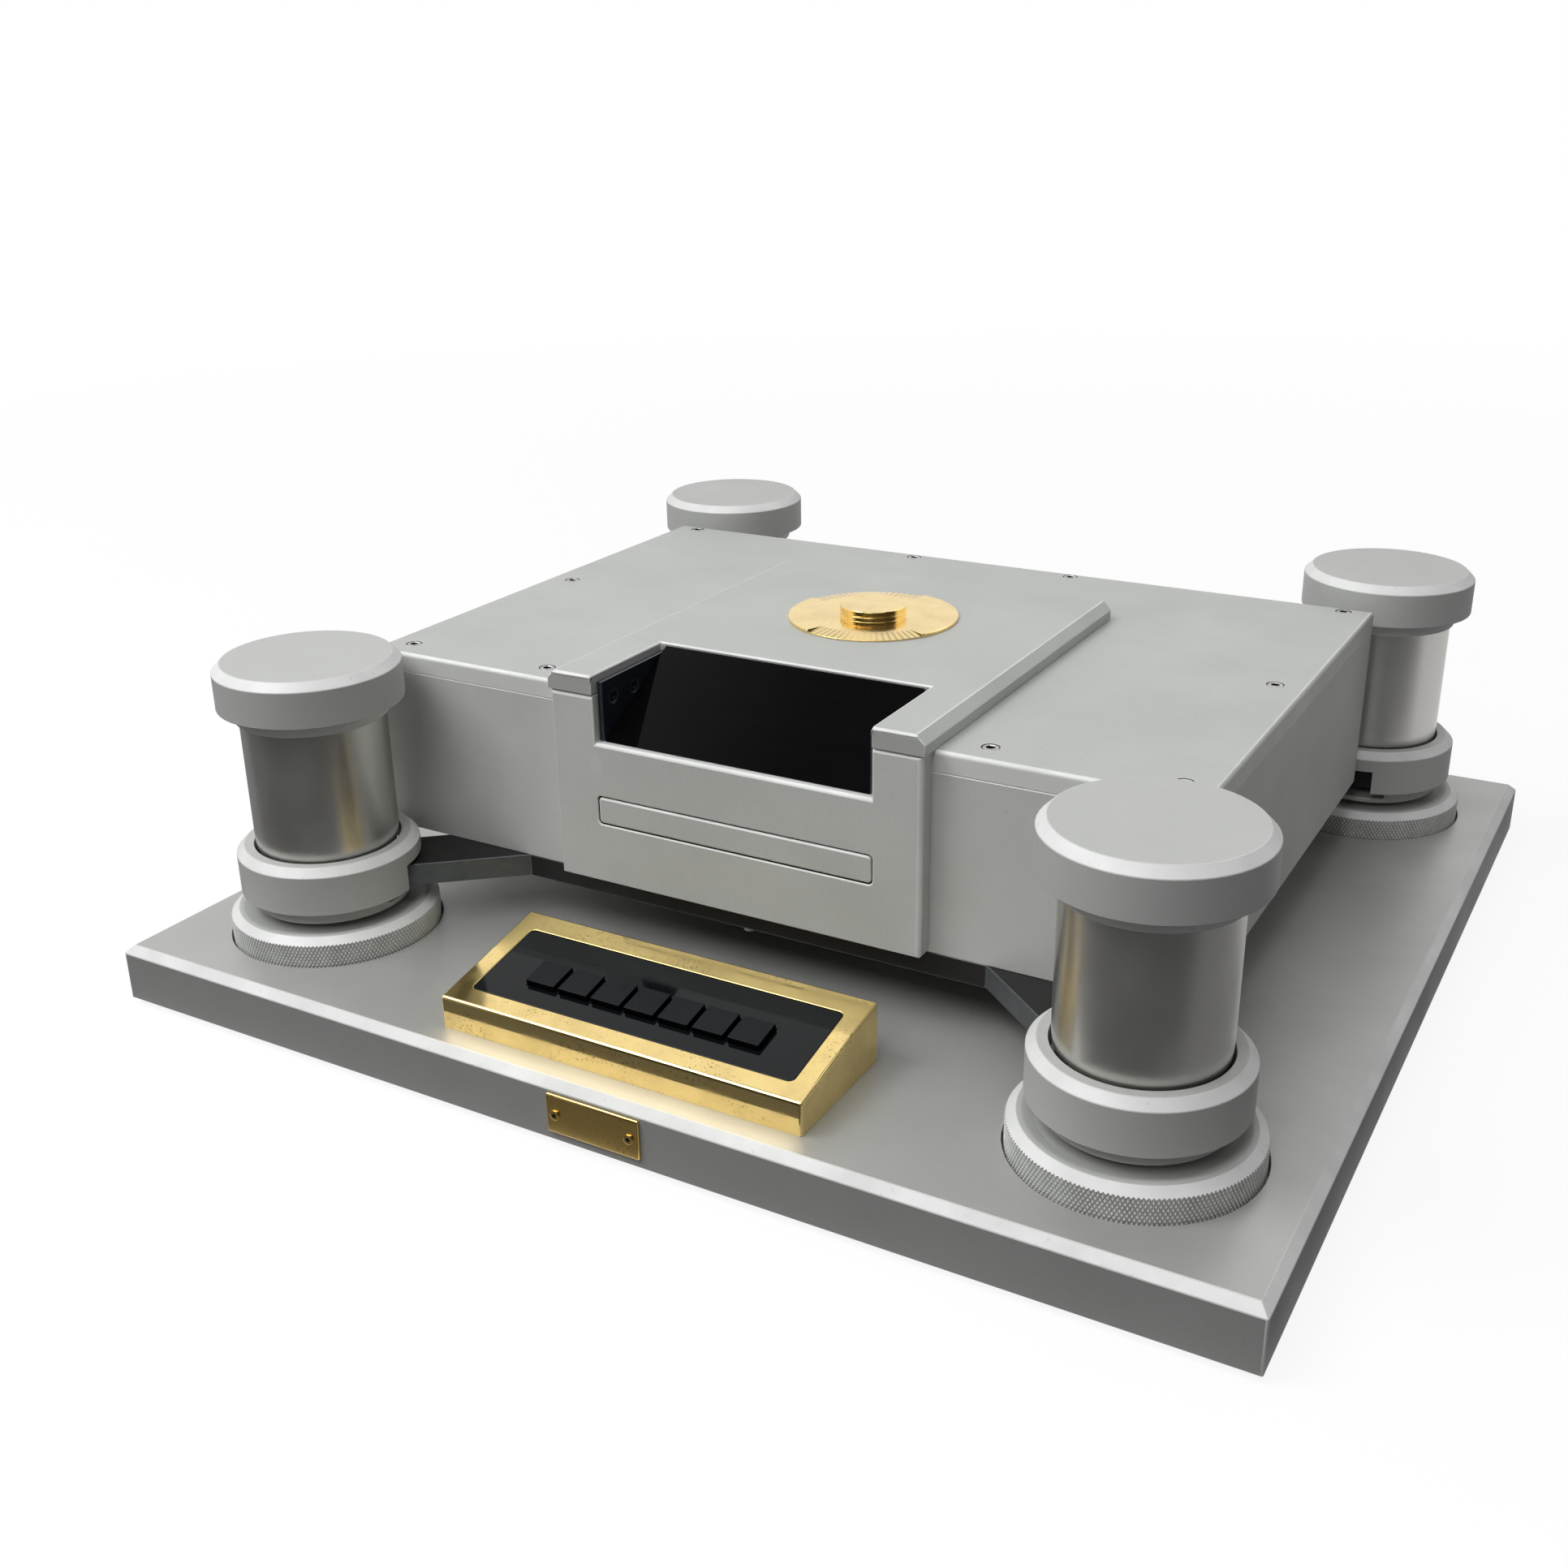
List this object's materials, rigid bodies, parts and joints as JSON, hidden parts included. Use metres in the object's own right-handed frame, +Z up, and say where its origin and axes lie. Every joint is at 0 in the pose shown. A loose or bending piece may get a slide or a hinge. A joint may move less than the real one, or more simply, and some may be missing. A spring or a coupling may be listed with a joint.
{
  "type": "disc player",
  "caption": "Disc player with a sliding tray, its chassis hung on springs from column tubes over a thick metal plinth.",
  "frame": {"origin": "on the surface that the player stands on, under the centre of the plinth", "axes": "+X to the player's right seen from the front, -Y out of the front with the tray, +Z up"},
  "size_m": [0.6, 0.5726, 0.1886],
  "materials": {
    "plinth_aluminium": "bead-blasted satin",
    "turned_aluminium": "turned and bead-blasted satin",
    "chassis_aluminium": "bead-blasted satin",
    "brushed_tube": "lengthwise brushed",
    "gold": "gold plated, satin",
    "black_glass": "gloss, opaque",
    "black_key": "satin",
    "black_hood": "black satin",
    "dark_steel": "dark satin",
    "bright_steel": "plain",
    "fastener_steel": "bright turned",
    "rubber": "matt",
    "black_plastic": "matt",
    "white_plastic": "plain",
    "board_green": "lacquered",
    "copper_winding": "enamelled wire",
    "socket_metal": "gold plated"
  },
  "bodies": {
    "plinth": {"plinth": "plinth_aluminium", "feet": "rubber", "nameplate": "gold", "nameplate_screws": "fastener_steel", "panel_housing": "gold", "panel_glass": "black_glass", "key_board": "board_green"},
    "ring_fl": {"ring_fl": "turned_aluminium"},
    "column_fl": {"column_foot_fl": "turned_aluminium", "collar_fl": "turned_aluminium", "spring_fl": "bright_steel"},
    "ring_fr": {"ring_fr": "turned_aluminium"},
    "column_fr": {"column_foot_fr": "turned_aluminium", "collar_fr": "turned_aluminium", "spring_fr": "bright_steel"},
    "ring_bl": {"ring_bl": "turned_aluminium"},
    "column_bl": {"column_foot_bl": "turned_aluminium", "collar_bl": "turned_aluminium", "spring_bl": "bright_steel"},
    "ring_br": {"ring_br": "turned_aluminium"},
    "column_br": {"column_foot_br": "turned_aluminium", "collar_br": "turned_aluminium", "spring_br": "bright_steel"},
    "chassis": {"tubes": "brushed_tube", "caps": "turned_aluminium", "hangers": "bright_steel", "subframe": "dark_steel", "chassis_tub": "chassis_aluminium", "lid": "chassis_aluminium", "lid_screws": "fastener_steel", "bridge": "chassis_aluminium", "fascia": "chassis_aluminium", "hood_cheeks": "black_hood", "cheek_screws": "fastener_steel", "display_glass": "black_glass", "rear_panel": "chassis_aluminium", "signal_sockets": "socket_metal", "mains_inlet": "black_plastic", "transformer": "copper_winding", "circuit_boards": "board_green", "transport_base": "dark_steel", "spindle_motor": "bright_steel", "sled_rods": "bright_steel", "clamp_bridge": "dark_steel", "tray_motor": "bright_steel"},
    "tray": {"tray": "black_plastic", "tray_door": "chassis_aluminium"},
    "pinion": {"tray_pinion": "white_plastic"},
    "turntable": {"turntable": "black_plastic"},
    "clamp": {"disc_clamp": "black_plastic"},
    "sled": {"laser_sled": "black_plastic"},
    "lead_screw": {"lead_screw": "bright_steel"},
    "medallion": {"medallion": "gold"},
    "key_1": {"key_1": "black_key"},
    "key_2": {"key_2": "black_key"},
    "key_3": {"key_3": "black_key"},
    "key_4": {"key_4": "black_key"},
    "key_5": {"key_5": "black_key"},
    "key_6": {"key_6": "black_key"},
    "key_7": {"key_7": "black_key"}
  },
  "joints": [
    {"name": "suspension_slide", "type": "slide", "parent": "plinth", "child": "chassis", "axis": [0, 0, 1], "range_m": [-0.003, 0.0012], "stiffness_N_per_m": 12000, "springref_m": 0.02457, "deforming": ["spring_fl", "spring_fr", "spring_bl", "spring_br"]},
    {"name": "ring_fl_turn", "type": "hinge", "parent": "plinth", "child": "ring_fl", "pos_m": [-0.222, -0.2075, 0.034], "axis": [0, 0, 1], "range_deg": [-270, 270]},
    {"name": "column_fl_lift", "type": "slide", "parent": "plinth", "child": "column_fl", "axis": [0, 0, 1], "range_m": [-0.00076, 0.00076], "deforming": ["spring_fl"]},
    {"name": "ring_fr_turn", "type": "hinge", "parent": "plinth", "child": "ring_fr", "pos_m": [0.222, -0.2075, 0.034], "axis": [0, 0, 1], "range_deg": [-270, 270]},
    {"name": "column_fr_lift", "type": "slide", "parent": "plinth", "child": "column_fr", "axis": [0, 0, 1], "range_m": [-0.00076, 0.00076], "deforming": ["spring_fr"]},
    {"name": "ring_bl_turn", "type": "hinge", "parent": "plinth", "child": "ring_bl", "pos_m": [-0.222, 0.2075, 0.034], "axis": [0, 0, 1], "range_deg": [-270, 270]},
    {"name": "column_bl_lift", "type": "slide", "parent": "plinth", "child": "column_bl", "axis": [0, 0, 1], "range_m": [-0.00076, 0.00076], "deforming": ["spring_bl"]},
    {"name": "ring_br_turn", "type": "hinge", "parent": "plinth", "child": "ring_br", "pos_m": [0.222, 0.2075, 0.034], "axis": [0, 0, 1], "range_deg": [-270, 270]},
    {"name": "column_br_lift", "type": "slide", "parent": "plinth", "child": "column_br", "axis": [0, 0, 1], "range_m": [-0.00076, 0.00076], "deforming": ["spring_br"]},
    {"name": "tray_slide", "type": "slide", "parent": "chassis", "child": "tray", "axis": [0, -1, 0], "range_m": [0, 0.15]},
    {"name": "tray_pinion_spin", "type": "hinge", "parent": "chassis", "child": "pinion", "pos_m": [-0.057, -0.136, 0.107], "axis": [0, 0, 1], "range_deg": [-5, 1080]},
    {"name": "turntable_spin", "type": "hinge", "parent": "chassis", "child": "turntable", "pos_m": [0, -0.078, 0.107], "axis": [0, 0, 1], "continuous": true},
    {"name": "clamp_drop", "type": "slide", "parent": "chassis", "child": "clamp", "axis": [0, 0, -1], "range_m": [0, 0.0075], "stiffness_N_per_m": 150, "springref_m": -0.006},
    {"name": "sled_slide", "type": "slide", "parent": "chassis", "child": "sled", "axis": [0, 1, 0], "range_m": [0, 0.033]},
    {"name": "lead_screw_spin", "type": "hinge", "parent": "chassis", "child": "lead_screw", "pos_m": [0, -0.04, 0.092], "axis": [0, 1, 0], "range_deg": [-5, 1985]},
    {"name": "medallion_lift", "type": "slide", "parent": "chassis", "child": "medallion", "axis": [0, 0, 1], "range_m": [0, 0.02]},
    {"name": "key_1_press", "type": "slide", "parent": "plinth", "child": "key_1", "axis": [0, 0.1937, -0.9811], "range_m": [0, 0.0012], "stiffness_N_per_m": 400, "springref_m": -0.001},
    {"name": "key_2_press", "type": "slide", "parent": "plinth", "child": "key_2", "axis": [0, 0.1937, -0.9811], "range_m": [0, 0.0012], "stiffness_N_per_m": 400, "springref_m": -0.001},
    {"name": "key_3_press", "type": "slide", "parent": "plinth", "child": "key_3", "axis": [0, 0.1937, -0.9811], "range_m": [0, 0.0012], "stiffness_N_per_m": 400, "springref_m": -0.001},
    {"name": "key_4_press", "type": "slide", "parent": "plinth", "child": "key_4", "axis": [0, 0.1937, -0.9811], "range_m": [0, 0.0012], "stiffness_N_per_m": 400, "springref_m": -0.001},
    {"name": "key_5_press", "type": "slide", "parent": "plinth", "child": "key_5", "axis": [0, 0.1937, -0.9811], "range_m": [0, 0.0012], "stiffness_N_per_m": 400, "springref_m": -0.001},
    {"name": "key_6_press", "type": "slide", "parent": "plinth", "child": "key_6", "axis": [0, 0.1937, -0.9811], "range_m": [0, 0.0012], "stiffness_N_per_m": 400, "springref_m": -0.001},
    {"name": "key_7_press", "type": "slide", "parent": "plinth", "child": "key_7", "axis": [0, 0.1937, -0.9811], "range_m": [0, 0.0012], "stiffness_N_per_m": 400, "springref_m": -0.001}
  ],
  "couplings": [
    {"joint": "column_fl_lift", "follows": "ring_fl_turn", "m_per_rad": 0.00015915},
    {"joint": "column_fr_lift", "follows": "ring_fr_turn", "m_per_rad": 0.00015915},
    {"joint": "column_bl_lift", "follows": "ring_bl_turn", "m_per_rad": 0.00015915},
    {"joint": "column_br_lift", "follows": "ring_br_turn", "m_per_rad": 0.00015915},
    {"joint": "tray_pinion_spin", "follows": "tray_slide", "rad_per_m": 125},
    {"joint": "lead_screw_spin", "follows": "sled_slide", "rad_per_m": 1047.2}
  ]
}
